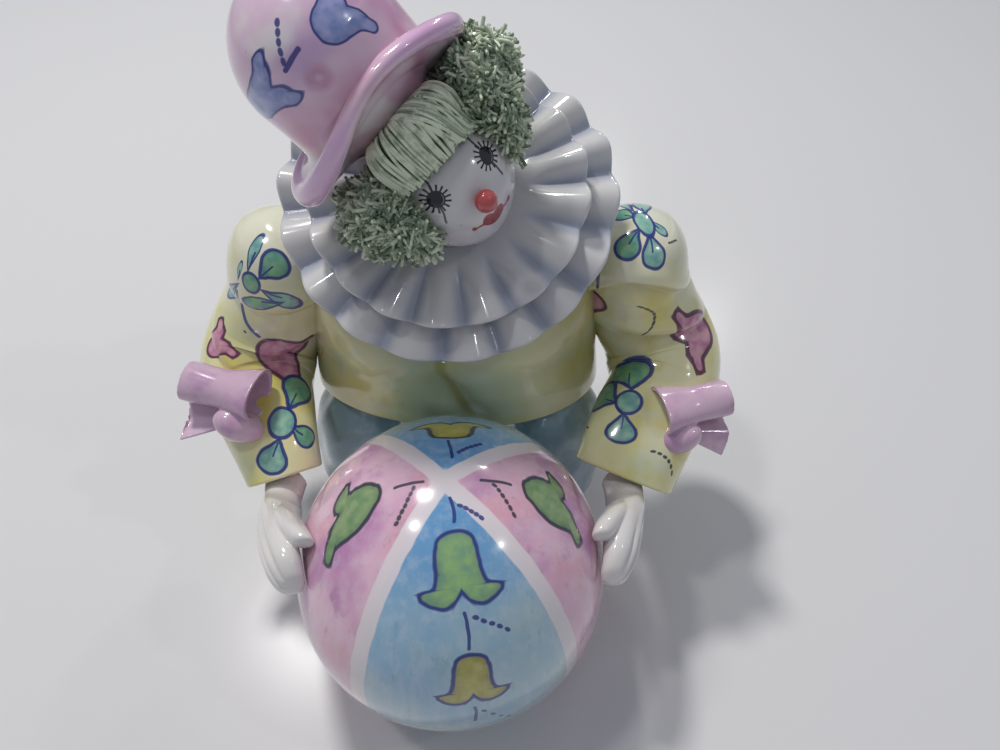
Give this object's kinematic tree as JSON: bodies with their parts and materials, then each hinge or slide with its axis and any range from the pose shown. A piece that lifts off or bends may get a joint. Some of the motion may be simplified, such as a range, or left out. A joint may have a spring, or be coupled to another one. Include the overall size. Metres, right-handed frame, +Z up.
{
  "type": "clown figurine",
  "caption": "Glazed ceramic clown leaning over a large striped ball, with puffed sleeves, a pleated ruff and a tilted bowler hat.",
  "frame": {"origin": "middle of the ball's flat foot, on the surface that the figurine stands on", "axes": "+Z up, -Y towards the viewer in front of the ball, +X to that viewer's right"},
  "size_m": [0.2093, 0.1793, 0.2347],
  "materials": {
    "ball_glaze": "glossy pink and pale blue segments between white stripes",
    "blue_glaze": "glossy teal blue, brushed",
    "yellow_glaze": "glossy pale yellow with painted leaves and bells",
    "white_glaze": "glossy warm white",
    "pink_glaze": "glossy mottled pink",
    "red_glaze": "glossy red",
    "hair_clay": "satin sage green strands"
  },
  "bodies": {
    "root": {"ball": "ball_glaze", "trousers": "blue_glaze", "shoe_left": "pink_glaze", "shoe_right": "pink_glaze", "jacket": "yellow_glaze", "sleeve_left": "yellow_glaze", "sleeve_right": "yellow_glaze", "hand_left": "white_glaze", "hand_right": "white_glaze", "bow_left": "pink_glaze", "bow_right": "pink_glaze", "ruff_lower": "white_glaze", "ruff_upper": "white_glaze", "head": "white_glaze", "nose": "red_glaze", "hair_front": "hair_clay", "hair_left": "hair_clay", "hair_right": "hair_clay", "hat": "pink_glaze"}
  },
  "joints": []
}
